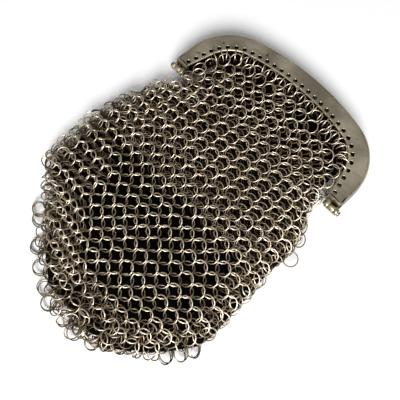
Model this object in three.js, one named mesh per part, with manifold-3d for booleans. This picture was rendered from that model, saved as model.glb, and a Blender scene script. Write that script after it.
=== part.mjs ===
// A small metal mesh purse, lying flat with its frame closed. The frame is two pressed
// arches of nickel silver that nest into each other and turn on two riveted pins. The bag is
// mail of small round rings, hooked through a row of holes in each arch, over a cloth lining.
//
// Millimetres. x runs along the hinge axis, y from it toward the crest, z up. The pieces are
// placed from the hinge axis, and the purse is then moved to stand on z = 0, with the middle of
// its box over the origin.
import * as THREE from "three";
import { mergeVertices } from "three/addons/utils/BufferGeometryUtils.js";
import Module from "manifold-3d";

const wasm = await Module();
wasm.setup();

// The frame, seen flat. The outer edge is a straight arm, a shoulder arc and a crown arc.
const frameHalfWidth = 39;
const springHeight = 8.5;
const shoulderRadius = 20;
const crownRise = 2.5;
const plateWidth = 7.5;
const armSplay = THREE.MathUtils.degToRad(14);

// Both halves are pressed from one sheet. The back half's flange nests in the front half's.
const sheet = 0.8;
const edgeRadius = 1.2;
const frameDepth = 8;
const frontFlange = 4.3;
const nestOverlap = 0.9;
const gap = 0.3;

// The row of punched holes. The end ones are empty.
const holeCount = 31;
const emptyHoles = 3;
const holeRadius = 0.75;
const holeMargin = 1.35;
const firstHoleHeight = 3;

// The hinge barrels: a middle knuckle of the back half between two of the front half.
const hingeInset = 2;
const knuckleRadius = 1.1;
const middleKnuckle = 2.1;
const outerKnuckle = 1.2;
const pinRadius = 0.45;
const headRadius = 0.95;
const headHeight = 0.6;

// The mail and its rings. The bag's mouth is a little narrower than the throat of the frame.
const ringRadius = 2.4;
const wireRadius = 0.26;
const mailThickness = 1.9;
const mailEdgeGap = 0.5;
const mouthInset = 2.7;
const bagDrop = 88;
const bagHalfWidth = 41;
const bagHeight = 12;

// The lining.
const liningThickness = 1;

// Sections of the bag below its mouth, down to the bottom, as shares of bagDrop, of bagHalfWidth on
// the left and on the right, and of bagHeight. A large square value makes a section nearly a
// rectangle, a small one rounds its sides over. The mouth and the underside are nearly square.
const bagSections = [
  { down: 0.06, left: 0.79, right: 0.78, top: 0.93, square: 7 },
  { down: 0.13, left: 0.93, right: 0.86, top: 0.97, square: 4.5 },
  { down: 0.22, left: 0.985, right: 0.925, top: 1.0, square: 3.6 },
  { down: 0.36, left: 1.0, right: 0.93, top: 1.0, square: 3.4 },
  { down: 0.64, left: 0.975, right: 0.975, top: 0.96, square: 3.4 },
  { down: 0.7, left: 0.85, right: 0.955, top: 0.94, square: 3.4 },
  { down: 0.78, left: 0.7, right: 0.84, top: 0.91, square: 3.2 },
  { down: 0.87, left: 0.53, right: 0.68, top: 0.86, square: 3 },
  { down: 0.94, left: 0.29, right: 0.5, top: 0.78, square: 2.8 },
  { down: 0.98, left: 0.08, right: 0.36, top: 0.7, square: 2.6 },
  { down: 1.0, left: -0.06, right: 0.26, top: 0.6, square: 2.4 },
];
const sectionPoints = 18;
const squareMouth = 12;
const squareBelow = 8;
const widestAt = 0.45;
const levelShare = 0.92;
const levelStretch = 1.02;

// Facets: per quarter of a long arc, round a hole, a knuckle, a pin and a ring, and over a dome.
const arcSteps = 4;
const bevelSteps = 2;
const holeSides = 8;
const knuckleSides = 12;
const pinSides = 10;
const ringSides = 10;
const wireSides = 5;
const domeSteps = 3;

// Heights that follow, above the surface that the purse lies on. The rings that hook the back sheet
// to the frame reach down to it.
const backPlateMid = ringRadius + wireRadius;
const hingeZ = backPlateMid + (frameDepth - sheet) / 2;
const frontPlateMid = backPlateMid + frameDepth - sheet;

// Lengths that follow, seen flat.
const hingeCentre = frameHalfWidth - hingeInset;
const armEnd = knuckleRadius + gap;
const lipEnd = gap / 2;
const hookReach = 2 * ringRadius + wireRadius - holeMargin;
const liningInset = hookReach + gap;
const wide = 2 * (frameHalfWidth + bagHalfWidth);

// The crown arc is tangent to both shoulder arcs and rises by crownRise above their tops.
const shoulderX = frameHalfWidth - shoulderRadius;
const crestRise = shoulderRadius + crownRise;
const crownRadius = (shoulderX ** 2 + crestRise ** 2 - shoulderRadius ** 2) / (2 * crownRise);
const crownY = springHeight + crestRise - crownRadius;
const crownAngle = Math.atan2(springHeight - crownY, shoulderX);

const silver = new THREE.MeshStandardMaterial({ color: 0x8f8571, roughness: 0.45, metalness: 0.9 });
const wornSilver = new THREE.MeshStandardMaterial({ color: 0xb5a88c, roughness: 0.3, metalness: 0.95 });
const mailSilver = new THREE.MeshStandardMaterial({ color: 0x7c705f, roughness: 0.5, metalness: 0.85 });
const cloth = new THREE.MeshStandardMaterial({ color: 0x15130f, roughness: 0.95, metalness: 0 });

// A closed solid of a three.js geometry. Triangles that a pole has shrunk to a line are left out.
function solid(geometry) {
  const bare = geometry.index ? geometry.toNonIndexed() : geometry.clone();
  for (const name of Object.keys(bare.attributes)) {
    if (name !== "position") bare.deleteAttribute(name);
  }
  const merged = mergeVertices(bare, 1e-4);
  const corners = merged.index.array;
  const kept = [];
  for (let i = 0; i < corners.length; i += 3) {
    const [a, b, c] = corners.subarray(i, i + 3);
    if (a !== b && b !== c && c !== a) kept.push(a, b, c);
  }
  return new wasm.Manifold(new wasm.Mesh({
    numProp: 3,
    vertProperties: new Float32Array(merged.attributes.position.array),
    triVerts: new Uint32Array(kept),
  }));
}

// A named mesh of a solid.
function piece(name, body, material) {
  const mesh = body.getMesh();
  const geometry = new THREE.BufferGeometry();
  geometry.setAttribute("position", new THREE.BufferAttribute(mesh.vertProperties, 3));
  geometry.setIndex(new THREE.BufferAttribute(mesh.triVerts, 1));
  geometry.computeVertexNormals();
  const named = new THREE.Mesh(geometry, material);
  named.name = name;
  return named;
}

// A block between two corners.
function block(x0, x1, y0, y1, z0, z1) {
  const box = new THREE.BoxGeometry(x1 - x0, y1 - y0, z1 - z0);
  box.translate((x0 + x1) / 2, (y0 + y1) / 2, (z0 + z1) / 2);
  return solid(box);
}

// A shape raised from z0 to z1.
function raised(shape, z0, z1, options = {}) {
  const geometry = new THREE.ExtrudeGeometry(shape, {
    depth: z1 - z0, bevelEnabled: false, curveSegments: arcSteps, ...options,
  });
  geometry.translate(0, 0, z0);
  return solid(geometry);
}

// How far from the middle the right arm's line, inset from the outer edge, is at the height endY.
// The arms lean out by splay toward the hinge.
function armX(inset, endY, splay) {
  const radius = shoulderRadius - inset;
  const turnY = springHeight + radius * Math.sin(splay);
  return shoulderX + radius * Math.cos(splay) + (turnY - endY) * Math.tan(splay);
}

// Traces the arch line that lies inset from the outer edge, from its right end at the height
// endY over the crown to its left end.
function traceArch(path, inset, endY, splay = 0) {
  const radius = shoulderRadius - inset;
  const endX = armX(inset, endY, splay);
  path.moveTo(endX, endY);
  path.lineTo(shoulderX + radius * Math.cos(splay), springHeight + radius * Math.sin(splay));
  path.absarc(shoulderX, springHeight, radius, splay, crownAngle, false);
  path.absarc(0, crownY, crownRadius - inset, crownAngle, Math.PI - crownAngle, false);
  path.absarc(-shoulderX, springHeight, radius, Math.PI - crownAngle, Math.PI - splay, false);
  path.lineTo(-endX, endY);
  return path;
}

function archShape(inset, endY, splay) {
  const shape = traceArch(new THREE.Shape(), inset, endY, splay);
  shape.closePath();
  return shape;
}

// The holes' places, evenly spaced, each with the direction along the row.
const holeLine = traceArch(new THREE.Path(), plateWidth - holeMargin, firstHoleHeight, armSplay);
const holes = Array.from({ length: holeCount }, (_, i) => {
  const share = i / (holeCount - 1);
  return { at: holeLine.getPointAt(share), along: holeLine.getTangentAt(share) };
});

// A round bar along x.
function bar(x0, x1, radius) {
  const geometry = new THREE.CylinderGeometry(radius, radius, x1 - x0, knuckleSides);
  geometry.rotateZ(Math.PI / 2);
  geometry.translate((x0 + x1) / 2, 0, 0);
  return solid(geometry);
}

// One half of the frame with its face up, placed from the hinge axis: a beveled arch, hollowed
// from below, with the throat and the holes cut through and its knuckles on the lips.
function frameHalf(inset, flange, knuckles) {
  const face = frameDepth / 2;
  const below = face - flange;
  const far = -frameDepth;
  let body = raised(archShape(inset, armEnd - 2 * edgeRadius), far, face - edgeRadius, {
    bevelEnabled: true, bevelThickness: edgeRadius, bevelSize: edgeRadius,
    bevelOffset: -edgeRadius, bevelSegments: bevelSteps,
  });
  body = body.subtract(block(-wide, wide, -wide, armEnd, 2 * far, -far));
  body = body.subtract(block(-wide, wide, -wide, wide, 2 * far, below));
  body = body.subtract(raised(archShape(inset + sheet, armEnd + sheet), 2 * far, face - sheet));
  body = body.subtract(raised(archShape(plateWidth, armEnd - sheet, armSplay), 2 * far, -far));
  body = body.subtract(block(-wide, wide, -wide, armEnd + sheet + gap, 2 * far, lipEnd));
  for (const { at } of holes) {
    const hole = new THREE.CylinderGeometry(holeRadius, holeRadius, 3 * sheet, holeSides);
    hole.rotateX(Math.PI / 2);
    hole.translate(at.x, at.y, face - sheet / 2);
    body = body.subtract(solid(hole));
  }
  for (const side of [-1, 1]) {
    for (const [from, to] of knuckles) {
      const [x0, x1] = side > 0 ? [from, to] : [-to, -from];
      const reach = frameHalfWidth - inset;
      const tab = block(Math.max(x0, -reach), Math.min(x1, reach), knuckleRadius / 4,
        armEnd + sheet / 2, knuckleRadius / 3, knuckleRadius);
      body = body.add(bar(x0, x1, knuckleRadius)).add(tab);
    }
  }
  body = body.subtract(bar(-wide, wide, pinRadius + gap));
  return body;
}

const middleFrom = hingeCentre - middleKnuckle / 2;
const middleTo = hingeCentre + middleKnuckle / 2;
const barrelFrom = middleFrom - gap - outerKnuckle;
const barrelTo = middleTo + gap + outerKnuckle;

const frameFront = piece("frame_front", frameHalf(0, frontFlange,
  [[barrelFrom, middleFrom - gap], [middleTo + gap, barrelTo]]), silver);
frameFront.position.z = hingeZ;

// The back half is turned over about y, so that its face looks down.
const frameBack = piece("frame_back", frameHalf(sheet + gap, frameDepth - frontFlange + nestOverlap,
  [[middleFrom, middleTo]]), silver);
frameBack.position.z = hingeZ;
frameBack.rotation.y = Math.PI;

// A pin with a domed head at each end, turned about its own axis and laid along x.
function hingePin(name, side) {
  const half = (barrelTo - barrelFrom) / 2 + gap;
  const dome = Array.from({ length: domeSteps + 1 }, (_, step) => {
    const angle = (step / domeSteps) * (Math.PI / 2);
    return new THREE.Vector2(headRadius * Math.sin(angle), half + headHeight * Math.cos(angle));
  });
  const upper = [...dome, new THREE.Vector2(pinRadius, half)];
  const lower = upper.map((p) => new THREE.Vector2(p.x, -p.y));
  const geometry = new THREE.LatheGeometry([...lower, ...upper.reverse()], pinSides);
  geometry.rotateZ(Math.PI / 2);
  const pin = piece(name, solid(geometry), wornSilver);
  pin.position.set(side * (barrelFrom + barrelTo) / 2, 0, hingeZ);
  return pin;
}

const mouthHalfWidth = armX(plateWidth, armEnd, armSplay) - mouthInset;
const mailTop = frontPlateMid + mailThickness / 2;

// A loft through the bag's sections, drawn in by inset from the mail's outside. Its mouth lies at
// the hinge axis, or is drawn out past it by the length beyond.
function bagLoft(inset, beyond = 0) {
  const mouthHalf = mouthHalfWidth - inset;
  const mouth = sectionRing(0, -mouthHalf, mouthHalf, inset, mailTop - inset, squareMouth);
  const rings = bagSections.map((row) => {
    const left = -row.left * bagHalfWidth + inset;
    const right = row.right * bagHalfWidth - inset;
    const top = row.top * bagHeight - inset;
    return sectionRing(-row.down * (bagDrop - inset), left, right, inset, top, row.square);
  });
  rings.unshift(mouth);
  if (beyond > 0) rings.unshift(mouth.map((p) => new THREE.Vector3(p.x, beyond, p.z)));
  return solid(loftGeometry(rings));
}

// One section: level below at the height floor and level above at top, with round sides.
function sectionRing(y, left, right, floor, top, square) {
  const middle = (left + right) / 2;
  const half = (right - left) / 2;
  const widest = floor + (top - floor) * widestAt;
  return Array.from({ length: sectionPoints }, (_, i) => {
    const angle = ((i + 0.5) / sectionPoints) * 2 * Math.PI;
    const above = Math.sin(angle) > 0;
    const power = 2 / (above ? square : Math.max(square, squareBelow));
    const across = Math.sign(Math.cos(angle)) * Math.abs(Math.cos(angle)) ** power;
    const part = Math.min(1, levelStretch * Math.abs(Math.sin(angle)) ** power);
    const z = above ? widest + (top - widest) * part : widest - (widest - floor) * part;
    return new THREE.Vector3(middle + half * across, y, z);
  });
}

// A closed skin over rings of equal counts, with a fan over each end.
function loftGeometry(rings) {
  const count = rings[0].length;
  const points = rings.flat();
  const faces = [];
  for (let r = 0; r + 1 < rings.length; r += 1) {
    for (let i = 0; i < count; i += 1) {
      const next = (i + 1) % count;
      const [a, b, c, d] = [r * count + i, r * count + next, (r + 1) * count + next,
        (r + 1) * count + i];
      faces.push(a, b, c, a, c, d);
    }
  }
  for (const [start, flip] of [[0, true], [(rings.length - 1) * count, false]]) {
    for (let i = 1; i + 1 < count; i += 1) {
      if (flip) faces.push(start, start + i + 1, start + i);
      else faces.push(start, start + i, start + i + 1);
    }
  }
  const geometry = new THREE.BufferGeometry().setFromPoints(points);
  geometry.setIndex(faces);
  return geometry;
}

// A bag wall of the given thickness: the loft, hollow and open at the mouth, and the two
// tongues of sheet that go on from it up to the frame, one in each half.
function bagWall(inset, thickness, edgeInset) {
  const frontTop = mailTop - inset;
  let body = bagLoft(inset).subtract(bagLoft(inset + thickness, thickness));
  const tongue = archShape(plateWidth + edgeInset, -thickness / 2, armSplay);
  const level = levelShare * (mouthHalfWidth - inset);
  const across = inset > 0 ? level : wide;
  for (const [z0, z1] of [[frontTop - thickness, frontTop], [inset, inset + thickness]]) {
    const joint = block(-level, level, -thickness, thickness, z0, z1);
    const above = block(-across, across, 0, wide, z0, z1);
    body = body.add(raised(tongue, z0, z1).intersect(joint.add(above)));
  }
  return body;
}

// A hook ring stands across the edge of a half, through its hole and into the mail.
function hookRing({ at, along }, plateMid) {
  const geometry = new THREE.TorusGeometry(ringRadius, wireRadius, wireSides, ringSides);
  const outward = new THREE.Vector3(along.y, -along.x, 0);
  const up = new THREE.Vector3(0, 0, 1);
  geometry.applyMatrix4(new THREE.Matrix4().makeBasis(outward, up, outward.clone().cross(up)));
  geometry.translate(at.x - outward.x * ringRadius, at.y - outward.y * ringRadius, plateMid);
  return solid(geometry);
}

let mail = bagWall(0, mailThickness, mailEdgeGap);
for (const hole of holes.slice(emptyHoles, holeCount - emptyHoles)) {
  mail = mail.add(hookRing(hole, frontPlateMid)).add(hookRing(hole, backPlateMid));
}
const meshBag = piece("mesh_bag", mail, mailSilver);
const lining = piece("lining", bagWall(mailThickness + gap, liningThickness, liningInset), cloth);

const purse = new THREE.Group();
purse.add(frameFront, frameBack, hingePin("hinge_pin_left", -1), hingePin("hinge_pin_right", 1),
  meshBag, lining);

// The middle of the box goes over the origin.
const box = new THREE.Box3().setFromObject(purse);
purse.position.set(-(box.min.x + box.max.x) / 2, -(box.min.y + box.max.y) / 2, -box.min.z);

export default purse;
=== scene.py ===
# A small metal mesh purse, lying on its back half with its frame closed: two pressed arches of
# nickel silver on riveted pins, a bag of round wire mail hooked into them, and a cloth lining.
# Shapes are worked out in millimetres from the middle of the hinge axis, heights from the floor.
import bmesh
import bpy
import numpy as np
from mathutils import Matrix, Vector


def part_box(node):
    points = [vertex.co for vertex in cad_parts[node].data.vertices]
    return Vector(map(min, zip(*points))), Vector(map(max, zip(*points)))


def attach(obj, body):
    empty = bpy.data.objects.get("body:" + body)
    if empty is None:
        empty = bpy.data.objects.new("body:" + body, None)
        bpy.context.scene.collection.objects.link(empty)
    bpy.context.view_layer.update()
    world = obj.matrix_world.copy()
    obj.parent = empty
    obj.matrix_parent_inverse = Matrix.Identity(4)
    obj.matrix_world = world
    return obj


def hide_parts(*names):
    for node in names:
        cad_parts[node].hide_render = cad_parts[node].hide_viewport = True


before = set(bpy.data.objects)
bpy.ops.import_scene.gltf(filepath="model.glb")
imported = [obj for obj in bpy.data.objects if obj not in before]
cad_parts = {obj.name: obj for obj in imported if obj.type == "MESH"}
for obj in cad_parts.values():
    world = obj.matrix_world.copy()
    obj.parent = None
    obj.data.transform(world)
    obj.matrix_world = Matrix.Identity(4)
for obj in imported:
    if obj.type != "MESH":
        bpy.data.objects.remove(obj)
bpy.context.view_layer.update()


# The frame's halves. Each is one sheet of nickel silver, pressed to an arch with a flat face, a
# rounded rim and a flange, with a lip folded down at each arm's end and a row of punched holes.
# The back half's flange nests in the front half's, and barrels on the lips take the hinge pins.
mm = 0.001
frame_half_width = 39
spring_height = 8.5
shoulder_radius = 20
crown_rise = 2.5
plate_width = 7.5
arm_splay = np.radians(14)
sheet = 0.8
rim_radius = 1.2
frame_depth = 8
front_flange = 4.3
back_flange = 4.6
nesting_inset = 1.1
hole_count = 31
hole_radius = 0.75
hole_inset = 6.15
first_hole_height = 3
hole_ease = 0.08
flat_insets = (4.8, 3.9, 3.1)
rim_band = 1.5
arm_end = 1.4
arm_fold = 0.45
end_station = 0.05
lip_end = 0.15
lip_clearance = 0.02
lip_drop = 0.03
edge_ease = 0.3
hinge_centre = 37
knuckle_radius = 1.25
barrel_bore = 0.55
barrel_ease = 0.18
middle_barrel = (-1.25, 1.25)
outer_barrels = ((-2.55, -1.3), (1.3, 2.55))
tab_reach = (0.3, arm_end + 0.4)
tab_heights = (0.37, knuckle_radius)

pins = [np.array(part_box(name)) / mm for name in ("hinge_pin_left", "hinge_pin_right")]
hinge = (pins[0].sum(axis=0) + pins[1].sum(axis=0)) / 4
to_row = np.array([hinge[0], hinge[1], 0])
hinge_height = hinge[2]
front_plate = hinge_height + (frame_depth - sheet) / 2
back_plate = hinge_height - (frame_depth - sheet) / 2

shoulder_x = frame_half_width - shoulder_radius
crest_rise = shoulder_radius + crown_rise
crown_radius = (shoulder_x ** 2 + crest_rise ** 2 - shoulder_radius ** 2) / (2 * crown_rise)
crown_y = spring_height + crest_rise - crown_radius
crown_angle = np.arctan2(spring_height - crown_y, shoulder_x)


def arch_line(station, inset, splay):
    """Points on the line that lies inset from the frame's outer edge. A station is 0 at the right
    arm's end, 1 at the foot of its shoulder arc, 2 where the crown arc starts, 3 at the crest, and
    goes on to 6 at the left arm's end. The arm leans out by splay, the shoulder is an arc round
    its centre from splay to the crown's angle, and the crown a wide arc up to a right angle."""
    half = np.minimum(station, 6 - station)
    side = np.where(station <= 3, 1.0, -1.0)
    radius = shoulder_radius - inset
    turn_x = shoulder_x + radius * np.cos(splay)
    turn_y = spring_height + radius * np.sin(splay)
    up = np.clip(half, 0, 1)
    arm_y = arm_end + (turn_y - arm_end) * up
    arm_x = turn_x + (turn_y - arm_y) * np.tan(splay)
    bend = splay + (crown_angle - splay) * np.clip(half - 1, 0, 1)
    sweep = crown_angle + (np.pi / 2 - crown_angle) * np.clip(half - 2, 0, 1)
    wide = crown_radius - inset
    x = np.select([half < 1, half < 2], [arm_x, shoulder_x + radius * np.cos(bend)],
                  wide * np.cos(sweep))
    y = np.select([half < 1, half < 2], [arm_y, spring_height + radius * np.sin(bend)],
                  crown_y + wide * np.sin(sweep))
    return np.stack([side * x, y], axis=-1)


def inset_at(x, y):
    """How far inside the frame's outer edge a point lies, measured square to the splayed arch."""
    out = np.abs(x) - shoulder_x
    angle = np.arctan2(y - spring_height, out)
    arm = shoulder_radius - out * np.cos(arm_splay) - (y - spring_height) * np.sin(arm_splay)
    shoulder = shoulder_radius - np.hypot(out, y - spring_height)
    crown = crown_radius - np.hypot(x, y - crown_y)
    return np.select([angle < arm_splay, angle < crown_angle], [arm, shoulder], crown)


def stations_along(inset, splay, lowest, shares):
    """The stations at even shares of the arch line's length, between its two points at the height
    lowest: the line's length is summed over short steps and read backwards."""
    fine = np.linspace(0, 6, 6001)
    line = arch_line(fine, inset, splay)
    length = np.append(0, np.cumsum(np.linalg.norm(np.diff(line, axis=0), axis=1)))
    start = np.interp(lowest, line[:1000, 1], length[:1000])
    return np.interp(start + shares * (length[-1] - 2 * start), length, fine)


def grid_faces(rows, columns, wrap=False):
    """Quads between neighbouring rows and columns of a grid of points, row by row. With wrap, the
    last column joins the first one."""
    across = columns if wrap else columns - 1
    row, column = np.meshgrid(np.arange(rows - 1), np.arange(across), indexing="ij")
    after = (column + 1) % columns
    corners = [row * columns + column, row * columns + after,
               (row + 1) * columns + after, (row + 1) * columns + column]
    return np.stack(corners, axis=-1).reshape(-1, 4)


def shaped(name, parts, material, crease=None, shelter=None):
    """One object of several surfaces, each an array of points and an array of quads. Points that
    meet are merged, faces are turned outwards, and edges sharper than crease stay crisp. The
    last argument works out from the points how much painted shade, with some tarnish, darkens
    each, for the shader."""
    points = np.concatenate([np.reshape(p, (-1, 3)) for p, _ in parts])
    starts = np.cumsum([0] + [np.size(p) // 3 for p, _ in parts])
    quads = np.concatenate([q + start for (_, q), start in zip(parts, starts)])
    _, first, place = np.unique(np.round(points, 4), axis=0, return_index=True,
                                return_inverse=True)
    quads = place.reshape(-1)[quads]
    doubled = quads == np.roll(quads, 1, axis=1)
    faces = [list(q[~d]) for q, d in zip(quads, doubled) if d.sum() < 2]
    mesh = bpy.data.meshes.new(name)
    mesh.from_pydata((points[first] + to_row) * mm, [], faces)
    tidy = bmesh.new()
    tidy.from_mesh(mesh)
    bmesh.ops.recalc_face_normals(tidy, faces=tidy.faces)
    tidy.to_mesh(mesh)
    tidy.free()
    if shelter is not None:
        kept = mesh.attributes.new("shelter", "FLOAT", "POINT")
        kept.data.foreach_set("value", shelter(points[first]))
    mesh.shade_smooth()
    if crease is not None:
        mesh.set_sharp_from_angle(angle=np.radians(crease))
    mesh.materials.append(material)
    made = bpy.data.objects.new(name, mesh)
    bpy.context.scene.collection.objects.link(made)
    return made


def pressed_section(inset, flange):
    """The arch's closed profile outside the band of holes, as insets from the outer edge and
    heights below the face: over the flat, round the rim, down the flange, round its cut edge and
    back up inside it to the flat's underside."""
    turn = np.linspace(0, np.pi / 2, 8)
    edge = np.linspace(0, np.pi, 7)
    inner = rim_radius - sheet
    wall_top = -1.9
    wall_foot = 0.6 - flange
    flat = np.array([(d, 0) for d in (*flat_insets, inset + rim_band)])
    rim = np.stack([inset + rim_radius - rim_radius * np.sin(turn),
                    rim_radius * np.cos(turn) - rim_radius], axis=1)
    wall = np.array([(inset, wall_top), (inset, wall_foot)])
    cut = np.stack([inset + sheet / 2 - sheet / 2 * np.cos(edge),
                    sheet / 2 - flange - sheet / 2 * np.sin(edge)], axis=1)
    rise = np.array([(inset + sheet, wall_foot), (inset + sheet, wall_top)])
    fillet = np.stack([inset + rim_radius - inner * np.cos(turn),
                       inner * np.sin(turn) - rim_radius], axis=1)
    under = np.array([(d, -sheet) for d in (inset + rim_band, *flat_insets[::-1])])
    return np.concatenate([flat, rim, wall, cut, rise, fillet, under])


hole_shares = np.arange(hole_count) / (hole_count - 1)
cell_shares = (np.arange(4 * hole_count + 1) - 2) / (4 * (hole_count - 1))
hole_stations = stations_along(hole_inset, arm_splay, first_hole_height, hole_shares)
cell_stations = stations_along(hole_inset, arm_splay, first_hole_height, cell_shares)
band = np.linspace(plate_width - edge_ease, flat_insets[0], 5)


def arch_half(inset, flange):
    """The pressed arch about the hinge axis, face up at half the frame's depth. The profile is
    carried along the arch, its splay growing from none at the rim to all at the band of holes.
    Each hole's cell blends from the hole's circle to the cell's square edge."""
    face = frame_depth / 2
    section = pressed_section(inset, flange)
    along = np.concatenate([[end_station], cell_stations, [6 - end_station]])
    lean = (section[:, 0] - inset - rim_band) / (flat_insets[0] - inset - rim_band)
    lean = arm_splay * np.clip(lean, 0, 1) ** 1.5
    skin = [np.column_stack([arch_line(along, d, s), np.full(len(along), face + h)])
            for (d, h), s in zip(section, lean)]
    skin = np.stack(skin, axis=1)
    parts = [(skin, grid_faces(len(along), len(section)))]
    for side in (0, 1):
        rows = along[[side * (len(along) - 2), side * (len(along) - 2) + 1]]
        for height in (0, -sheet):
            strip = [np.column_stack([arch_line(rows, d, arm_splay), np.full(2, face + height)])
                     for d in band]
            parts.append((np.stack(strip, axis=1), grid_faces(2, len(band))))
    turn = np.linspace(0, np.pi / 2, 5)
    upper = edge_ease * np.column_stack([1 - np.sin(turn), np.cos(turn) - 1])
    rounded = np.concatenate([upper, [0, -sheet] + upper[::-1] * [1, -1]])
    lip = [np.column_stack([arch_line(along, plate_width - d, arm_splay),
                            np.full(len(along), face + h)]) for d, h in rounded]
    parts.append((np.stack(lip, axis=1), grid_faces(len(along), len(rounded))))
    middle = arch_line(hole_stations, hole_inset, arm_splay)
    cells = np.stack([arch_line(cell_stations, d, arm_splay) for d in band], axis=1)
    start = 4 * np.arange(hole_count)[:, None]
    column = np.concatenate([[0, 1, 2, 3], [4] * 4, [4, 3, 2, 1], [0] * 4])
    row = np.concatenate([[0] * 4, [0, 1, 2, 3], [4] * 4, [4, 3, 2, 1]])
    square = cells[start + column, row]
    spoke = square - middle[:, None]
    circle = middle[:, None] + hole_radius * spoke / np.linalg.norm(spoke, axis=2, keepdims=True)
    shares = np.array([0, 0.09, 0.5, 1])
    drops = np.array([hole_ease, 0, 0, 0])
    fan = circle[:, None] + shares[:, None, None] * (square - circle)[:, None]
    for top in (True, False):
        height = face - drops if top else face - sheet + drops / 2
        z = np.broadcast_to(height[:, None], fan.shape[:3])[..., None]
        flat = np.concatenate([fan, z], axis=-1)
        parts += [(cell, grid_faces(4, 16, wrap=True)) for cell in flat]
    wall = np.array([face - hole_ease, face - sheet + hole_ease / 2])
    tube = np.concatenate([np.stack([circle, circle], axis=1),
                           np.broadcast_to(wall[:, None], (hole_count, 2, 16))[..., None]], axis=-1)
    parts += [(ring, grid_faces(2, 16, wrap=True)) for ring in tube]
    return parts


def folded_lip(side, inset):
    """The lip that closes an arm: a strip across the arm's end, from the face down to just above
    the hinge axis. Its section is a rectangle with a rounded upper fold, and its top follows the
    rim's arc at the outer edge."""
    face = frame_depth / 2
    outer = frame_half_width - inset - lip_clearance
    inner = arch_line(np.array([0.0]), plate_width, arm_splay)[0, 0]
    x = inner + (outer - inner) * np.sin(np.linspace(0, np.pi / 2, 20))
    over = np.clip(x - outer + rim_radius, 0, rim_radius)
    top = face - rim_radius + np.sqrt(rim_radius ** 2 - over ** 2) - lip_drop
    turn = np.linspace(0, np.pi / 2, 6)
    y = np.concatenate([arm_end + arm_fold - arm_fold * np.sin(turn), [arm_end, arm_end + sheet],
                        [arm_end + sheet]])
    drop = np.concatenate([arm_fold - arm_fold * np.cos(turn), [np.nan, np.nan], [0]])
    z = top[:, None] - drop[None]
    z = np.where(np.isnan(z), lip_end, z)
    loops = np.stack([np.broadcast_to(side * x[:, None], z.shape),
                      np.broadcast_to(y[None], z.shape), z], axis=-1)
    ends = [np.concatenate([loop, np.broadcast_to(loop.mean(axis=0), loop.shape)]).reshape(2, -1, 3)
            for loop in (loops[0], loops[-1])]
    closed = [(end, grid_faces(2, len(y), wrap=True)) for end in ends]
    return [(loops, grid_faces(len(x), len(y), wrap=True))] + closed


def turned(profile, middle_x, sides):
    """A round piece turned about the hinge axis: a profile of places along x and radii, carried
    round in the given number of sides."""
    turn = np.linspace(0, 2 * np.pi, sides, endpoint=False)
    place, radius = np.array(profile).T
    x = np.broadcast_to((middle_x + place)[:, None], (len(place), sides))
    points = np.stack([x, radius[:, None] * np.cos(turn), radius[:, None] * np.sin(turn)], axis=-1)
    return points, grid_faces(len(place), sides, wrap=True)


def barrels(spans, inset):
    """The barrels on both arms' lips: rolled tubes along the hinge axis with eased ends, each
    joined to its lip by a short tab."""
    parts = []
    part_ease = barrel_ease / 3
    y = np.repeat(tab_reach, 2)
    z = np.array([*tab_heights, *tab_heights[::-1]])
    for side in (-1, 1):
        for low, high in spans:
            profile = [(low, barrel_bore), (low, knuckle_radius - barrel_ease),
                       (low + part_ease, knuckle_radius - part_ease),
                       (low + barrel_ease, knuckle_radius), (high - barrel_ease, knuckle_radius),
                       (high - part_ease, knuckle_radius - part_ease),
                       (high, knuckle_radius - barrel_ease), (high, barrel_bore),
                       (low, barrel_bore)]
            parts.append(turned(profile, side * hinge_centre, 24))
            near = np.array([side * hinge_centre + low, side * hinge_centre + high])
            near = np.clip(near, inset - frame_half_width, frame_half_width - inset)
            tab = np.stack([np.broadcast_to(near[:, None], (2, 4)), np.broadcast_to(y, (2, 4)),
                            np.broadcast_to(z, (2, 4))], axis=-1)
            caps = np.array([[0, 1, 2, 3], [4, 5, 6, 7]])
            parts.append((tab, np.concatenate([grid_faces(2, 4, wrap=True), caps])))
    return parts


def painted_shade_and_tarnish(points, face, up):
    """How much painted shade, with some tarnish, darkens a half's points, from 0 to 1: more with
    their depth below its face, where the flange's side lies in shade, all of it in the holes and
    under the sheet, and none on the barrels."""
    lit_rim = 2.2
    lit_depth = 0.3
    fade = 1.1
    inside = inset_at(points[:, 0], points[:, 1])
    depth = (face - points[:, 2]) * up
    enclosed = (inside > lit_rim) & (depth > 0.05) & (points[:, 1] > arm_end + sheet + 0.01)
    eased = (inside > plate_width - edge_ease - 0.02) & (depth < edge_ease + 0.01)
    shade_and_tarnish_mask = np.where(enclosed & ~eased, 1, np.clip((depth - lit_depth) / fade, 0, 0.85))
    return np.where(points[:, 1] < arm_end - 0.05, 0, shade_and_tarnish_mask)


def lifted(parts, height, turned_over=False):
    """The same surfaces raised to a height, or turned over about y first."""
    flip = np.array([-1, 1, -1]) if turned_over else np.ones(3)
    return [(np.reshape(p, (-1, 3)) * flip + [0, 0, height], q) for p, q in parts]


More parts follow.
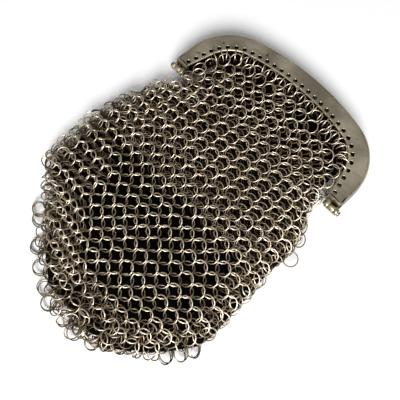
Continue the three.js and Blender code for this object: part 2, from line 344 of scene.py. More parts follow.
class Shade:
    """A shader socket. Arithmetic on it adds Math nodes, and node() adds any other node."""

    def __init__(self, tree, socket=None):
        self.tree = tree
        self.socket = socket

    def node(self, kind, settings=None, sockets=None, out=0):
        """A node of the given type: its settings first, a ramp's stops among them, then the
        values or links of its sockets. What comes back is one of its outputs."""
        made = self.tree.nodes.new(kind)
        for name, value in (settings or {}).items():
            if name == "stops":
                for spare in range(len(value) - 2):
                    made.color_ramp.elements.new(0.5)
                for element, (place, colour) in zip(made.color_ramp.elements, value):
                    element.position = place
                    element.color = (*colour, 1)
            else:
                setattr(made, name, value)
        for name, value in (sockets or {}).items():
            if isinstance(value, Shade):
                self.tree.links.new(value.socket, made.inputs[name])
            else:
                made.inputs[name].default_value = value
        return Shade(self.tree, made.outputs[out])

    def math(self, operation, first, second):
        return self.node("ShaderNodeMath", {"operation": operation}, {0: first, 1: second})

    def __add__(self, other):
        return self.math("ADD", self, other)

    def __radd__(self, other):
        return self.math("ADD", other, self)

    def __sub__(self, other):
        return self.math("SUBTRACT", self, other)

    def __rsub__(self, other):
        return self.math("SUBTRACT", other, self)

    def __mul__(self, other):
        return self.math("MULTIPLY", self, other)

    def __rmul__(self, other):
        return self.math("MULTIPLY", other, self)

    def __pow__(self, other):
        return self.math("POWER", self, other)

    def span(self, low, high):
        """0 where the value is at low or under, 1 at high or over, and smooth between."""
        return self.node("ShaderNodeMapRange", {"interpolation_type": "SMOOTHSTEP"},
                         {"Value": self, "From Min": low, "From Max": high})

    def mix(self, first, second):
        """A colour that goes from first to second as this value goes from 0 to 1."""
        return self.node("ShaderNodeMix", {"data_type": "RGBA"}, {0: self, 6: first, 7: second}, 2)

    def noise(self, scale, detail=3, stretch=(1, 1, 1), at=(0, 0, 0)):
        """Noise over the object, with lumps of about 1 / scale metres, drawn out by stretch."""
        place = self.node("ShaderNodeTexCoord", out=3)
        laid = self.node("ShaderNodeMapping", {}, {"Vector": place, "Scale": stretch,
                                                   "Location": at})
        return self.node("ShaderNodeTexNoise", {}, {"Vector": laid, "Scale": scale,
                                                    "Detail": detail})


def finish_named(name, metal, roughness, **constants):
    """A material with its surface shader: what is the same all over is set on its own sockets.
    It gives back the material, a Shade to build with, and the shader's sockets."""
    material = bpy.data.materials.new(name)
    material.use_nodes = True
    tree = material.node_tree
    surface = tree.nodes["Principled BSDF"].inputs
    surface["Metallic"].default_value = metal
    surface["Roughness"].default_value = roughness
    for socket, value in constants.items():
        surface[socket.replace("_", " ")].default_value = value
    return material, Shade(tree), surface


nickel_silver, shade, surface = finish_named("worn_nickel_silver", 1, 0.4)
bright_nickel = (0.77, 0.69, 0.52, 1)
dull_nickel = (0.53, 0.465, 0.335, 1)
tarnish = (0.12, 0.10, 0.07, 1)
shade_and_tarnish_brown = (0.028, 0.018, 0.009, 1)
cloud = shade.noise(70, 4).span(0.35, 0.68)
spots = shade.noise(420, 5, at=(3, 1, 2)).span(0.62, 0.75)
grain = shade.noise(2600, 2)
scratches = shade.noise(160, 6, stretch=(1, 14, 1)).span(0.45, 0.8)
# Painted shade, with some tarnish: the frame's colour goes to a deep brown where it lies below its
# face, in its holes and under its sheet.
shade_and_tarnish_mask = shade.node("ShaderNodeAttribute", {"attribute_name": "shelter"}, out=2).span(0, 1)
worn_metal = spots.mix(cloud.mix(dull_nickel, bright_nickel), tarnish)
grained = (0.45 * grain.span(0.3, 0.7)).mix(worn_metal, dull_nickel)
shade.tree.links.new(shade_and_tarnish_mask.mix(grained, shade_and_tarnish_brown).socket, surface["Base Color"])
shade.tree.links.new((0.34 + 0.16 * cloud + 0.12 * scratches).socket, surface["Roughness"])
dents = shade.node("ShaderNodeBump", {}, {"Strength": 0.2, "Distance": 0.0002,
                                          "Height": shade.noise(900, 4) + 0.25 * grain})
shade.tree.links.new(dents.socket, surface["Normal"])

front_parts = (arch_half(0, front_flange) + folded_lip(1, 0) + folded_lip(-1, 0)
               + barrels(outer_barrels, 0))
back_parts = (arch_half(nesting_inset, back_flange) + folded_lip(1, nesting_inset)
              + folded_lip(-1, nesting_inset) + barrels((middle_barrel,), nesting_inset))
front_face = hinge_height + frame_depth / 2
back_face = hinge_height - frame_depth / 2
front_half = shaped("front_arch", lifted(front_parts, hinge_height), nickel_silver, crease=35,
                    shelter=lambda points: painted_shade_and_tarnish(points, front_face, 1))
back_half = shaped("back_arch", lifted(back_parts, hinge_height, turned_over=True),
                   nickel_silver, crease=35,
                   shelter=lambda points: painted_shade_and_tarnish(points, back_face, -1))
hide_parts("frame_front")
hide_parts("frame_back")
for half in (front_half, back_half):
    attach(half, "root")


# The hinge pins: nickel silver wire through the barrels, riveted over to a dome at each end.
pin_radius = 0.45
head_radius = 1.0
head_height = 0.6
# The pins' colour is darkened all over by a fixed share of the frame's dark brown.
pin_darkening = 0.55
pin_half = 2.85
dome = np.linspace(0, np.pi / 2, 7)
head = [(pin_half + head_height * np.cos(a), head_radius * np.sin(a)) for a in dome]
rivet = [(-x, r) for x, r in head] + [(-pin_half, pin_radius), (pin_half, pin_radius)] + head[::-1]
for name, side in (("left", -1), ("right", 1)):
    pin = shaped(f"riveted_pin_{name}", lifted([turned(rivet, side * hinge_centre, 20)],
                                               hinge_height), nickel_silver, crease=40,
                 shelter=lambda points: np.full(len(points), pin_darkening))
    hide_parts(f"hinge_pin_{name}")
    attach(pin, "root")


# The lining: one piece of thin dark cloth, about 80 by 222 mm, folded at the bottom, sewn along
# its sides and open at the mouth. It lies inside the mail and follows it a little slack. Its
# colour is near black and it barely shines, darker than cloth, as painted shade for the dark
# inside the bag.
bag_drop = 88
bag_half_width = 41
bag_height = 12
mail_thickness = 1.9
bag_rows = np.array([
    # down, left, right, top, square
    (0.00, 0.755, 0.755, 0.90, 12),
    (0.06, 0.79, 0.78, 0.93, 7),
    (0.13, 0.93, 0.86, 0.97, 4.5),
    (0.22, 0.985, 0.925, 1.0, 3.6),
    (0.36, 1.0, 0.93, 1.0, 3.4),
    (0.64, 0.975, 0.975, 0.96, 3.4),
    (0.70, 0.85, 0.955, 0.94, 3.4),
    (0.78, 0.7, 0.84, 0.91, 3.2),
    (0.87, 0.53, 0.68, 0.86, 3),
    (0.94, 0.29, 0.5, 0.78, 2.8),
    (0.98, 0.08, 0.36, 0.7, 2.6),
    (1.00, -0.06, 0.26, 0.6, 2.4),
])


def bag_measures(y, inset):
    """The bag's section at y, drawn in by inset: its left and right ends, its top, the height where
    it is widest, and how square it is above and below."""
    down = np.clip(-y / bag_drop, 0, 1)
    left, right, top, square = (np.interp(down, bag_rows[:, 0], bag_rows[:, k])
                                for k in (1, 2, 3, 4))
    ceiling = top * bag_height - inset
    return (inset - left * bag_half_width, right * bag_half_width - inset, ceiling,
            inset + (ceiling - inset) * 0.45, (2 / square, 2 / max(square, 8)))


def bag_curve(y, inset, turn):
    """Points of the bag's section at y, a superellipse rounder above than below, at angles that
    start at its right end and go up over the top."""
    low, high, ceiling, widest, powers = bag_measures(y, inset)
    above = np.sin(turn) > 0
    power = np.where(above, *powers)
    cosine = np.cos(turn)
    x = (low + high) / 2 + (high - low) / 2 * np.sign(cosine) * np.abs(cosine) ** power
    part = np.minimum(1, 1.02 * np.abs(np.sin(turn)) ** power)
    return np.column_stack([x, widest + np.where(above, ceiling - widest, inset - widest) * part])


def angle_at(x, y, inset, above):
    """The angle from the level at which the section passes x, on whichever side x lies."""
    low, high, _, _, powers = bag_measures(y, inset)
    across = np.clip(np.abs(x - (low + high) / 2) / ((high - low) / 2), 0, 1)
    return np.arccos(across ** (1 / powers[0 if above else 1]))


def left_pull(y):
    """How far the bag's left side is drawn in from its plain outline: the shoulder of the gathered
    corner stands out, and the slope below it is drawn in."""
    return np.interp(y, [-66, -61, -55, -30, -12], [2.0, 0.3, -2.6, -1.8, 0])


lining_cloth, shade, surface = finish_named("black_lining_cloth", 0, 0.85)
surface["Specular IOR Level"].default_value = 0.02
weave = shade.noise(5000, 2)
# Painted shade: the cloth's colour is close to black, darker than real cloth, so that the gaps
# between the rings read as deep shade.
cloth_and_shade_colour = weave.span(0.3, 0.7).mix((0.0006, 0.0005, 0.0004, 1), (0.003, 0.0022, 0.002, 1))
shade.tree.links.new(cloth_and_shade_colour.socket, surface["Base Color"])
nap = weave.node("ShaderNodeBump", {}, {"Strength": 0.4, "Distance": 0.0001, "Height": weave})
shade.tree.links.new(nap.socket, surface["Normal"])

lining_inset = 1.4
left_slack = 1.8
cloth_slack = (2.6, 0.3)
low_bulge = 1.2
bulge_end = -84
bulge_fade = 12
cloth_thickness = 0.35
wall_steps = 60
mouth_inset = 8.3
throat_walls = (6.3, 3.9)
throat_start = -6
throat_rise = 8
mouth_line = arch_line(np.linspace(0, 3, 400), mouth_inset, arm_splay)
mouth_rows = np.linspace(mouth_line[-1, 1] - 0.1, mouth_line[0, 1], 22)
pouch_rows = np.append(mouth_rows, -bag_drop * np.linspace(0.002, 0.94, 44))
pouch = []
for y in pouch_rows:
    half_turn = np.linspace(0, np.pi, wall_steps)
    walls = bag_curve(min(y, 0), lining_inset, np.append(half_turn, half_turn + np.pi))
    half = min(np.interp(y, mouth_line[:, 1], mouth_line[:, 0]), walls[:, 0].max()) if y > 0 else 0
    drawn_in = (left_slack * np.clip((-y - 4) / 10, 0, 1) + left_pull(y)) / np.ptp(walls[:, 0])
    walls[:, 0] += drawn_in * (walls[:, 0].max() - walls[:, 0])
    bulge = low_bulge * np.clip((y - bulge_end) / bulge_fade, 0, 1)
    walls[:, 0] += bulge * np.clip(walls[:, 0] / 20, 0, 1) * np.clip(2 - walls[:, 1] / 4, 0, 1)
    walls[:, 1] -= np.append(cloth_slack[0] * np.sin(half_turn) ** 0.5,
                             cloth_slack[1] * np.sin(half_turn + np.pi))
    throat = np.clip((y - throat_start) / throat_rise, 0, 1)
    walls[:, 1] += throat * (np.repeat(throat_walls, wall_steps) - walls[:, 1])
    if y > 0:
        walls[:, 0] *= half / walls[:, 0].max()
    pouch.append(np.column_stack([walls[:, 0], np.full(len(walls), y), walls[:, 1]]))
pouch = np.stack(pouch)
foot = np.broadcast_to(pouch[-1].mean(axis=0), pouch[-1].shape)
pouch = np.concatenate([pouch, foot[None]])
walls = grid_faces(len(pouch), 2 * wall_steps, wrap=True).reshape(len(pouch) - 1, -1, 4)
open_sides = walls[:len(mouth_rows) - 1, np.arange(2 * wall_steps) % wall_steps < wall_steps - 1]
pouch_faces = np.concatenate([open_sides.reshape(-1, 4),
                              walls[len(mouth_rows) - 1:].reshape(-1, 4)])
lining = shaped("lining_pouch", [(pouch, pouch_faces)], lining_cloth)
doubling = lining.modifiers.new("cloth", "SOLIDIFY")
doubling.thickness = cloth_thickness * mm
doubling.offset = -1
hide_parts("lining")
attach(lining, "root")


# The mail: about nineteen hundred round rings of hard drawn wire, butted shut, in the four-in-one
# pattern. Rows lean up and down by turns, go right round the bag and shorten to the bottom, with
# a second layer of rings where the sheet is gathered. Hook rings hold it in the frame's holes.
ring_radius = 2.4
wire_radius = 0.21
skin_inset = mail_thickness / 2
first_row_inset = 10.0
first_row_rings = 18
last_row_rise = 1.5
throat_y = -1
throat_clearance = ([0, 6], [9.5, 12.0])
hook_pitch = (np.radians(38), np.radians(4))
hook_shift = 0.4
hook_aim = 1.4
throat_sag = 1.1
right_zone = 7.0
closeness = {-1: 0.7, 1: 0.8}
fold_depth = 1.6
upper_fold_y = -34
lower_fold_y = -72
random = np.random.default_rng(8)


def gather_width(y):
    """How far in from its left edge the bag is gathered: widest round the lower left corner."""
    return np.interp(y, [-70, -50, -35, -12], [20, 18.5, 13, 8])


def cell_width(y):
    """How far apart a row's rings stand: a little closer near the frame than in the open mail."""
    return np.interp(y, [-35, -10, 5], [5.08, 4.9, 5.2])


def row_pitch(y):
    """How far apart the rows stand: the mail hangs closest near the frame."""
    return np.interp(y, [-78, -60, -40, -14, 10], [2.45, 2.62, 2.6, 2.33, 2.33])


def sag(y):
    """How far the front sheet hangs below the frame's plate, growing from the bag's throat up."""
    return throat_sag * np.clip((y + 8) / 20, 0, 1)


def way_round(y, inset, turn):
    """How far along the bag's section at y each angle of turn lies, summed over short steps."""
    steps = np.diff(bag_curve(y, inset, turn), axis=0)
    return np.append(0, np.cumsum(np.hypot(steps[:, 0], steps[:, 1])))


def round_the_bag(y, phase, inset):
    """Places and outward directions for one row's rings round the bag at y. Where the bag is flat
    they stand a cell apart on the lattice. Round each side they are spread evenly along the
    section, closer than on the flat, because the sheet is gathered there."""
    width = cell_width(y)
    low, high = bag_measures(y, inset)[:2]
    columns = (np.arange(-12, 13) + phase) * width
    columns = columns[(columns > low + gather_width(y)) & (columns < high - right_zone)]
    turns = []
    if len(columns) < 2:
        fine = np.linspace(0, 2 * np.pi, 400)
        length = way_round(y, inset, fine)
        count = max(4, int(round(length[-1] / width)))
        turns.append(np.interp((np.arange(count) + phase) * length[-1] / count, length, fine))
    else:
        for above in (True, False):
            angle = angle_at(columns, y, inset, above)
            angle = np.where(columns < (low + high) / 2, np.pi - angle, angle)
            turns.append(angle if above else -angle)
        for side in (-1, 1):
            edge = columns[0 if side < 0 else -1]
            upper, lower = (angle_at(edge, y, inset, above) for above in (True, False))
            fine = np.linspace(upper, -lower, 300)
            fine = fine if side > 0 else np.pi - fine
            length = way_round(y, inset, fine)
            gaps = max(1, int(round(length[-1] / (width * closeness[side]))))
            turns.append(np.interp(length[-1] * np.arange(1, gaps) / gaps, length, fine))
    turn = np.concatenate(turns)
    at = bag_curve(y, inset, turn)
    ahead = bag_curve(y, inset, turn + 0.01) - bag_curve(y, inset, turn - 0.01)
    ahead /= np.linalg.norm(ahead, axis=1, keepdims=True)
    centre = np.column_stack([at[:, 0], np.full(len(at), y), at[:, 1]])
    return centre, np.column_stack([ahead[:, 1], np.zeros(len(at)), -ahead[:, 0]])


centres = []
facings = []
overs = []
depths = []


def add_rings(centre, facing, over, depth=0.0):
    """Adds a row's rings: their places and outward directions, 1 or -1 for the way that the whole
    row leans, and how deep below the outer layer it lies."""
    centres.append(centre)
    facings.append(facing)
    overs.append(np.full(len(centre), over))
    depths.append(np.full(len(centre), depth))


first_stations = stations_along(first_row_inset, arm_splay, 2.0,
                                (np.arange(first_row_rings) + 0.5) / first_row_rings)
first_row = arch_line(first_stations, first_row_inset, arm_splay)
for height, up in ((front_plate, 1.0), (back_plate, -1.0)):
    add_rings(np.column_stack([first_row, np.full(len(first_row), height)]),
              np.tile([0, 0, up], (len(first_row), 1)), 1.0)
row_y = crown_y + crown_radius - first_row_inset
over = -1.0
phase = 0.0
while row_y > -bag_drop + last_row_rise:
    row_y -= row_pitch(row_y)
    if row_y > throat_y:
        x = (np.arange(-9, 10) + phase) * cell_width(row_y)
        x = x[inset_at(x, row_y) > np.interp(row_y, *throat_clearance)]
        for height, up, depth in ((front_plate, 1.0, 0.0), (back_plate, -1.0, 0.0),
                                  (front_plate - fold_depth, 1.0, fold_depth)):
            add_rings(np.column_stack([x, np.full(len(x), row_y), np.full(len(x), height)]),
                      np.tile([0, 0, up], (len(x), 1)), over if depth == 0 else -over, depth)
    else:
        add_rings(*round_the_bag(row_y, phase, skin_inset), over)
        centre, outward = round_the_bag(row_y, 0.5 - phase, skin_inset + fold_depth)
        low, high = bag_measures(row_y, 0)[:2]
        folded = (centre[:, 0] < low + gather_width(row_y)) | (row_y > upper_fold_y)
        folded &= outward[:, 2] > -0.3
        low_or_right = (centre[:, 0] > high - right_zone) | (row_y < lower_fold_y)
        folded |= low_or_right & (outward[:, 2] > -0.95)
        add_rings(centre[folded], outward[folded], -over, fold_depth)
    over = -over
    phase = 0.5 - phase
home = np.concatenate(centres)
facing = np.concatenate(facings)
over = np.concatenate(overs)[:, None]
depth = np.concatenate(depths)[:, None]
home[:, 2] -= sag(home[:, 1]) * (facing[:, 2] > 0.5)

right_share = 0.7
low_share = 0.8
flat_share = 0.15
under_share = 0.3
low_pull = 0.6
right_pull = 0.8
edges = np.array([bag_measures(y, 0)[:2] for y in home[:, 1]])
left_gather = np.clip(1.25 - (home[:, 0] - edges[:, 0]) / gather_width(home[:, 1]), 0, 1)
right_gather = np.clip(1 - (edges[:, 1] - home[:, 0]) / right_zone, 0, 1)
low_gather = np.clip((-home[:, 1] - 70) / 12, 0, 1)
gather = np.maximum(left_gather, np.maximum(right_share * right_gather, low_share * low_gather))
gather = np.where(home[:, 1] < 0, gather, flat_share)
gather = gather[:, None] * np.where(facing[:, 2:] > -0.5, 1, under_share)
bag_middle = np.array([2, -45])
away = home[:, :2] - bag_middle
away /= np.linalg.norm(away, axis=1, keepdims=True)
pulled_in = left_pull(home[:, 1]) * left_gather + low_pull * low_gather
pulled_in += np.where(home[:, 1] < -12, right_pull, 0) * right_gather
home[:, :2] -= away * pulled_in[:, None]
facing = np.where(facing[:, 2:] > -0.5, facing * (1 - 0.8 * gather) + [0, 0, 0.8] * gather, facing)
facing /= np.linalg.norm(facing, axis=1, keepdims=True)
# Painted shade: rings of the deeper second layer, rings low in the bag and rings in the gathers get
# a higher level, so the shader paints them darker.
low_shade = 1.5
gather_shade = 0.4
level = np.sum(home * facing, axis=1) + depth[:, 0]
level += np.where(facing[:, 2] > -0.5, low_shade * np.clip((6.5 - home[:, 2]) / 5, 0, 1), 0)
level += gather_shade * gather[:, 0]

dense = np.clip((home[:, 1:2] + 35) / 25, 0, 1)
lean = np.radians(np.where(over > 0, 23 - 8 * dense, -21 - 13 * dense))
home = home + facing * np.where(over > 0, 0.15, -0.3) * dense
home_normal = facing * np.cos(lean) - np.array([0, 1, 0]) * np.sin(lean)
home_normal = home_normal - np.array([0.09, 0, 0]) * np.abs(facing[:, 2:])
home_normal /= np.linalg.norm(home_normal, axis=1, keepdims=True)


def crossways(normal):
    """Two directions across each ring, square to its normal and to each other."""
    along = np.where(np.abs(normal[:, 1:2]) > 0.8, [1.0, 0, 0], [0, 1.0, 0])
    first = np.cross(along, normal)
    first /= np.linalg.norm(first, axis=1, keepdims=True)
    return first, np.cross(normal, first)


def onto_ring(points, centre, normal):
    """The nearest point of a ring's centre line: drop the point to the ring's plane and draw it
    in or out to the ring's radius."""
    flat = points - centre
    flat = flat - normal * np.sum(flat * normal, axis=-1, keepdims=True)
    length = np.linalg.norm(flat, axis=-1, keepdims=True)
    return centre + flat * ring_radius / np.maximum(length, 1e-6)


def settle(centre, normal, goal, goal_normal, loose, rounds, clearance=0.03):
    """Lets the rings come to rest against each other. Where two wires are closer than a wire's
    thickness, both rings are pushed apart and turned by the push, as light hoops would be, and a
    fading pull draws each toward its goal. Loose is 1 for a ring that moves and 0 for one held."""
    pair_reach = 2 * ring_radius + 1.2
    check_gap = 1.4
    most_shift = 0.15
    most_spin = 0.08
    spokes = np.linspace(0, 2 * np.pi, 12, endpoint=False)
    wanted = 2 * wire_radius + clearance
    for turn in range(rounds):
        if turn % 15 == 0:
            apart = np.linalg.norm(centre[:, None] - centre[None], axis=2)
            one, two = np.nonzero(np.triu(apart < pair_reach, 1))
        across, up = crossways(normal)
        wire = centre[one, None] + ring_radius * (np.cos(spokes)[:, None] * across[one, None]
                                                  + np.sin(spokes)[:, None] * up[one, None])
        gap = np.linalg.norm(wire - onto_ring(wire, centre[two, None], normal[two, None]), axis=2)
        near = (gap <= np.roll(gap, 1, 1)) & (gap < np.roll(gap, -1, 1)) & (gap < check_gap)
        pair, spoke = np.nonzero(near)
        a, b = one[pair], two[pair]
        on_a = wire[pair, spoke]
        for _ in range(5):
            on_b = onto_ring(on_a, centre[b], normal[b])
            on_a = onto_ring(on_b, centre[a], normal[a])
        away = on_a - on_b
        distance = np.maximum(np.linalg.norm(away, axis=1, keepdims=True), 1e-4)
        hit = distance[:, 0] < wanted
        a, b = a[hit], b[hit]
        away, distance = away[hit] / distance[hit], distance[hit]
        shift, spin = np.zeros_like(centre), np.zeros_like(centre)
        count = np.zeros(len(centre))
        levers = []
        for ring, on in ((a, on_a[hit]), (b, on_b[hit])):
            lever = np.cross(on - centre[ring], away)
            lever -= normal[ring] * np.sum(lever * normal[ring], axis=1, keepdims=True)
            arm = np.sum(lever ** 2, axis=1, keepdims=True)
            levers.append((ring, lever, loose[ring, None] * (1 + 2 * arm / ring_radius ** 2)))
        push = (wanted - distance) / np.maximum(levers[0][2] + levers[1][2], 1e-6)
        for (ring, lever, _), sign in zip(levers, (1, -1)):
            np.add.at(shift, ring, sign * push * away * loose[ring, None])
            np.add.at(spin, ring, sign * push * lever * 2 / ring_radius ** 2 * loose[ring, None])
            np.add.at(count, ring, 1)
        soften = 1.2 / np.maximum(count, 1.2)[:, None] ** 0.5
        pull = loose[:, None] * (0.002 + 0.03 * (1 - turn / rounds) ** 2)
        centre = centre + np.clip(shift * soften, -most_shift, most_shift) + pull * (goal - centre)
        twist = np.cross(np.clip(spin * soften, -most_spin, most_spin), normal)
        normal = normal + twist + pull * (goal_normal - normal)
        normal /= np.linalg.norm(normal, axis=1, keepdims=True)
        lowest = centre[:, 2] - ring_radius * np.sqrt(1 - normal[:, 2] ** 2) - wire_radius
        centre[:, 2] -= np.minimum(lowest, 0)
    return centre, normal


hook_holes = hole_stations[3:-3]
hook_at = arch_line(hook_holes, hole_inset + hook_shift, arm_splay)
hook_in = arch_line(hook_holes, hole_inset + hook_aim, arm_splay)
inward = hook_in - hook_at
inward /= np.linalg.norm(inward, axis=1, keepdims=True)
hook_centre, hook_normal = [], []
for height, pitch in zip((front_plate, back_plate), hook_pitch):
    swing = np.radians(random.normal(0, 7, len(hook_at)))
    pitch = pitch + np.radians(random.normal(0, 4, len(hook_at)))
    turned_in = np.column_stack([inward[:, 0] * np.cos(swing) - inward[:, 1] * np.sin(swing),
                                 inward[:, 0] * np.sin(swing) + inward[:, 1] * np.cos(swing)])
    along_plate = turned_in * (ring_radius * np.cos(pitch))[:, None]
    hook_centre.append(np.column_stack([hook_at + along_plate,
                                        height - ring_radius * np.sin(pitch)]))
    hook_normal.append(np.column_stack([-turned_in[:, 1], turned_in[:, 0],
                                        np.zeros(len(hook_at))]))

waver = np.zeros_like(home)
for k in range(6):
    wave = random.normal(0, 1, 2) * 0.16
    waver += np.sin(home[:, :1] * wave[0] + home[:, 1:2] * wave[1] + random.uniform(0, 6)) \
        * random.normal(0, 0.22, 3)
jolt = random.normal(0, 1, home.shape) * (0.08 + 0.6 * gather)
outwards = np.sum(jolt * facing, axis=1, keepdims=True)
jolt -= facing * (outwards - np.where(gather > 0.3, -np.abs(outwards), outwards) * 0.7)
goal = home + waver * [1, 1, 0.4] + jolt
goal_normal = home_normal + random.normal(0, 1, home.shape) * (0.05 + 0.55 * gather)
goal_normal /= np.linalg.norm(goal_normal, axis=1, keepdims=True)

seam = np.array([
    # x, y, degrees that the ring lies over from upright
    (-30.1, -69.2, 66), (-27.2, -71.8, 50), (-20.5, -77.6, 70), (-13.8, -81.5, 68),
    (-7.7, -84.5, 72), (-2.9, -86.7, 62), (5.2, -87.6, 30), (9.8, -88.6, 40),
    (16.3, -86.2, 50), (20.0, -83.6, 24), (23.4, -81.0, 52), (28.7, -77.8, 30),
    (32.4, -75.0, 45), (36.2, -72.0, 36), (39.0, -68.2, 50), (41.1, -64.0, 34),
])
away = seam[:, :2] - bag_middle
away /= np.linalg.norm(away, axis=1, keepdims=True)
tangent = np.column_stack([-away[:, 1], away[:, 0]])
seam_centre, seam_normal = [], []
for beside in (-0.32, 0.32):
    yaw, tip = np.radians(random.normal(0, 1, (2, len(seam))) * [[18], [6]])
    tip += np.radians(seam[:, 2])
    level_way = tangent * np.cos(yaw)[:, None] + away * np.sin(yaw)[:, None]
    seam_normal.append(np.column_stack([level_way * np.cos(tip)[:, None], np.sin(tip)]))
    spot = seam[:, :2] + tangent * beside + away * random.normal(0, 0.2, (len(seam), 1))
    spot -= away * np.interp(seam[:, :1], [-5, 12], [0.2, 2.4])
    rest_height = 0.4 + ring_radius * np.cos(tip) + random.uniform(0, 1.2, len(seam))
    seam_centre.append(np.column_stack([spot, rest_height]))

loose_at = np.array([(39.5, -21.5, 4.0), (36.8, -15.8, 5.5), (33.4, -10.6, 5.0), (31.2, -5.6, 6.0),
                     (30.2, -0.6, 6.5)])
loose_normal = np.array([(0.3, -0.3, 0.9), (0.5, 0.2, 0.8), (0.1, -0.5, 0.8), (0.4, 0.3, 0.8),
                         (-0.2, 0.4, 0.9)])
loose_normal /= np.linalg.norm(loose_normal, axis=1, keepdims=True)

free_centre = [home] + seam_centre + [loose_at]
free_normal = [home_normal] + seam_normal + [loose_normal]
free_goal = [goal] + seam_centre + [loose_at]
free_goal_normal = [goal_normal] + seam_normal + [loose_normal]
free_count = sum(len(part) for part in free_centre)
loose = np.append(np.ones(free_count), np.zeros(2 * len(hook_at)))
every_centre, every_normal = settle(np.concatenate(free_centre + hook_centre),
                                    np.concatenate(free_normal + hook_normal),
                                    np.concatenate(free_goal + hook_centre),
                                    np.concatenate(free_goal_normal + hook_normal), loose, 240)


# How much more a point's height on its own wire counts, so that each wire's top gets the painted
# highlight.
top_highlight = 2.5


def wire_rings(centre, normal, sides=14, wire_sides=5):
    """Round rings of wire as one array of points: round each ring's circle, a small circle of wire
    is carried, drawn from the direction out from the ring's centre and the ring's normal."""
    across, up = crossways(normal)
    turn = np.linspace(0, 2 * np.pi, sides, endpoint=False)
    round_wire = np.linspace(0, 2 * np.pi, wire_sides, endpoint=False)
    out = np.cos(turn)[:, None] * across[:, None] + np.sin(turn)[:, None] * up[:, None]
    reach = ring_radius + wire_radius * np.cos(round_wire)
    points = (centre[:, None, None] + out[:, :, None] * reach[:, None]
              + normal[:, None, None] * (wire_radius * np.sin(round_wire))[:, None])
    ring, side, wire = np.meshgrid(np.arange(len(centre)), np.arange(sides),
                                   np.arange(wire_sides), indexing="ij")
    quads = [(ring * sides + (side + on) % sides) * wire_sides + (wire + up_by) % wire_sides
             for on, up_by in ((0, 0), (1, 0), (1, 1), (0, 1))]
    quads = np.stack(quads, axis=-1).reshape(-1, 4)
    core = np.repeat(centre[:, None, None] + ring_radius * out[:, :, None], wire_sides, axis=2)
    return points.reshape(-1, 3), core.reshape(-1, 3), quads


def wire_piece(name, centre, normal, facing, level, material):
    """Many rings as one object, put into the mesh as whole arrays. The attribute rise says how far
    each point stands out from the middle of the sheet, along the ring's outward direction. How far
    it stands out from its own wire's middle counts more, so that the shader paints each wire's top
    bright, a painted highlight, and its underside dark, painted shade."""
    points, core, quads = wire_rings(centre, normal)
    mesh = bpy.data.meshes.new(name)
    mesh.vertices.add(len(points))
    mesh.vertices.foreach_set("co", ((points + to_row) * mm).ravel())
    mesh.loops.add(quads.size)
    mesh.loops.foreach_set("vertex_index", quads.ravel())
    mesh.polygons.add(len(quads))
    mesh.polygons.foreach_set("loop_start", np.arange(0, quads.size, 4))
    mesh.update(calc_edges=True)
    round_one = len(points) // len(centre)
    highlighted = core + top_highlight * (points - core)
    rise = np.sum(highlighted * np.repeat(facing, round_one, axis=0), axis=1)
    rise -= np.repeat(level, round_one)
    mesh.attributes.new("rise", "FLOAT", "POINT").data.foreach_set("value", rise)
    mesh.shade_smooth()
    mesh.materials.append(material)
    made = bpy.data.objects.new(name, mesh)
    bpy.context.scene.collection.objects.link(made)
    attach(made, "root")
    return made


mail_wire, shade, surface = finish_named("tarnished_mail_wire", 1, 0.4)
# Painted highlight and shade, with some wear: the wire is painted bright where it stands high, on
# each wire's top and on the raised rings, and dark brown where it lies low or deep in the weave.
painted_light_and_wear = shade.node("ShaderNodeAttribute", {"attribute_name": "rise"}, out=2).span(-1.4, 0.95)
patchy = shade.noise(160, 3).span(0.3, 0.7)
bright_wire = patchy.mix((0.68, 0.57, 0.42, 1), (0.92, 0.81, 0.64, 1))
wire_colour = (painted_light_and_wear ** 1.45).mix((0.13, 0.095, 0.056, 1), bright_wire)
shade.tree.links.new(wire_colour.socket, surface["Base Color"])
shade.tree.links.new((0.52 - 0.12 * painted_light_and_wear).socket, surface["Roughness"])

# Painted shade: the seam and loose rings get a level above their own height, so the shader paints
# them dark, and the hook rings get levels set from the plates' heights.
edge_shade = 1.8
hook_shade = 0.6
up_way = np.array([0, 0, 1.0])
facing_up = free_count - len(home) + len(hook_at)
every_facing = np.concatenate([facing, np.tile(up_way, (facing_up, 1)),
                               np.tile(-up_way, (len(hook_at), 1))])
every_level = np.concatenate([level, every_centre[len(home):free_count, 2] + edge_shade,
                              np.full(len(hook_at), front_plate - hook_shade),
                              np.full(len(hook_at), hook_shade - back_plate)])
part = np.zeros(len(every_centre))
part[:len(home)] = facing[:, 2] <= -0.2
part[free_count:] = 2
made_pieces = [wire_piece(name, every_centre[part == k], every_normal[part == k],
                          every_facing[part == k], every_level[part == k], mail_wire)
               for k, name in enumerate(("mail_front", "mail_back", "hook_rings"))]
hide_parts("mesh_bag")


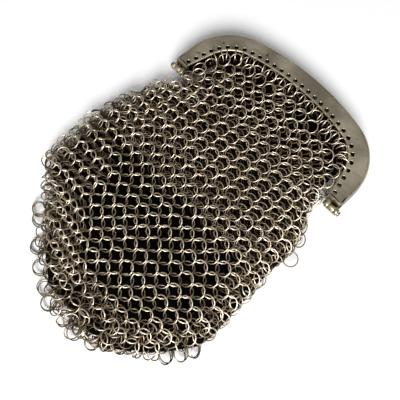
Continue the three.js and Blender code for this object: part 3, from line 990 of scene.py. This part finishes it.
# The surface that the purse lies on, plain and pale, the camera that looks down on it, and its
# lights: a soft one low behind the camera, so that the shadow falls past the frame, and a weak
# one from above.
floor_mesh = bpy.data.meshes.new("pale_surface")
reach = 2.0
floor_mesh.from_pydata([(-reach, -reach, 0), (reach, -reach, 0), (reach, reach, 0),
                        (-reach, reach, 0)], [], [(0, 1, 2, 3)])
floor_colour, shade, surface = finish_named("pale_surface", 0, 0.9)
surface["Base Color"].default_value = (0.9, 0.9, 0.9, 1)
floor_mesh.materials.append(floor_colour)
floor = bpy.data.objects.new("pale_surface", floor_mesh)
bpy.context.scene.collection.objects.link(floor)

target = np.array([6.92, -1.86, 10.26]) * mm
azimuth, elevation = np.radians(46.6975), np.radians(68.2512)
camera_distance = 0.178
back_way = np.array([np.sin(azimuth) * np.cos(elevation), -np.cos(azimuth) * np.cos(elevation),
                     np.sin(elevation)])


def looking(name, data, place, toward):
    """An object placed so that its -z axis points at a target, with x level."""
    away = (place - toward) / np.linalg.norm(place - toward)
    level = np.cross([0, 0, 1], away)
    level /= np.linalg.norm(level)
    made = bpy.data.objects.new(name, data)
    axes = np.eye(4)
    axes[:3, 0], axes[:3, 1], axes[:3, 2], axes[:3, 3] = level, np.cross(away, level), away, place
    made.matrix_world = axes.T.tolist()
    bpy.context.scene.collection.objects.link(made)
    return made


lens = bpy.data.cameras.new("camera")
lens.lens = 50
lens.sensor_width = 36
lens.clip_start = 0.01
camera = looking("camera", lens, target + camera_distance * back_way, target)
bpy.context.scene.camera = camera

for name, place, size, power in (("key_light", (0.52, -0.54, 0.65), 0.42, 14.6),
                                 ("top_light", (0.08, -0.12, 1.1), 0.6, 1.9)):
    lamp = bpy.data.lights.new(name, "AREA")
    lamp.shape = "DISK"
    lamp.size = size
    lamp.energy = power
    looking(name, lamp, np.array(place), np.zeros(3))
studio = bpy.data.worlds.new("studio")
studio.use_nodes = True
studio.node_tree.nodes["Background"].inputs["Color"].default_value = (1, 1, 1, 1)
studio.node_tree.nodes["Background"].inputs["Strength"].default_value = 0.19
bpy.context.scene.world = studio
bpy.context.scene.view_settings.view_transform = "Standard"
